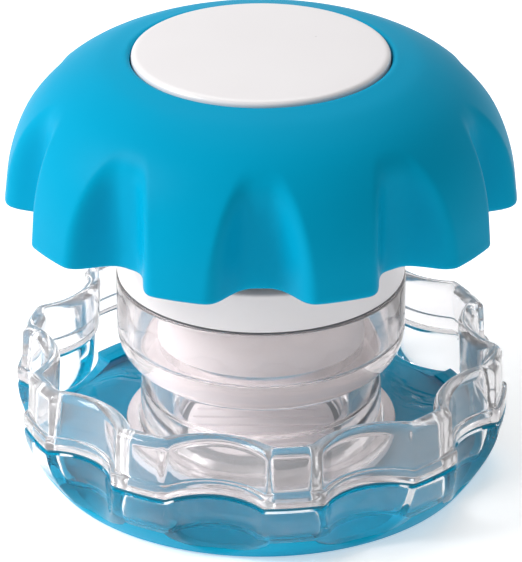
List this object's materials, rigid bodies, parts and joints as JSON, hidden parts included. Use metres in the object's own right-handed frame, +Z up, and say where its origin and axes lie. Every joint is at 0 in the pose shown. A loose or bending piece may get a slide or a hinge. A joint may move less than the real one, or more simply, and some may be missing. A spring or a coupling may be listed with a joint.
{
  "type": "pill crusher",
  "caption": "Twist-down pill crusher: a fluted grip cap drives a screw plunger with a swivel press head into a clear crush cup in a scalloped base.",
  "frame": {"origin": "on the table under the centre of the base, on the screw's axis", "axes": "+Z up along the screw's axis, -Y towards the front, +X to the right as seen from the front"},
  "size_m": [0.0788, 0.0778, 0.0689],
  "materials": {
    "cap_blue_soft": "satin",
    "base_blue": "satin",
    "clear_smoke": "polished",
    "white_plastic": "satin",
    "screw_white": "smooth",
    "core_grey": "fine grain",
    "seal_grey": "matte",
    "seal_teal": "matte",
    "foot_grey": "matte",
    "washer_pom": "waxy",
    "steel": "zinc plated"
  },
  "bodies": {
    "base": {"base_plate": "base_blue", "grip_foot": "foot_grey", "lower_tray": "clear_smoke", "parting_seal": "seal_teal", "upper_housing": "clear_smoke", "crush_cup": "clear_smoke", "anvil_seal": "seal_grey", "anvil_plate": "white_plastic", "collar_gasket": "seal_grey", "thread_insert": "white_plastic"},
    "head": {"press_head": "white_plastic", "head_seal": "seal_grey", "thrust_washer": "washer_pom", "swivel_clip": "steel"},
    "cap": {"plunger_screw": "screw_white", "cap_screws": "steel", "grip_core": "core_grey", "grip_cover": "cap_blue_soft", "top_disc": "white_plastic"}
  },
  "joints": [
    {"name": "cap_lift", "type": "slide", "parent": "base", "child": "head", "axis": [0, 0, 1], "range_m": [-0.02401, 0.00254]},
    {"name": "cap_twist", "type": "hinge", "parent": "head", "child": "cap", "pos_m": [0, 0, 0.05], "axis": [0, 0, 1], "range_deg": [-946.6, 100]}
  ],
  "couplings": [
    {"joint": "cap_lift", "follows": "cap_twist", "m_per_rad": 0.0014527}
  ]
}
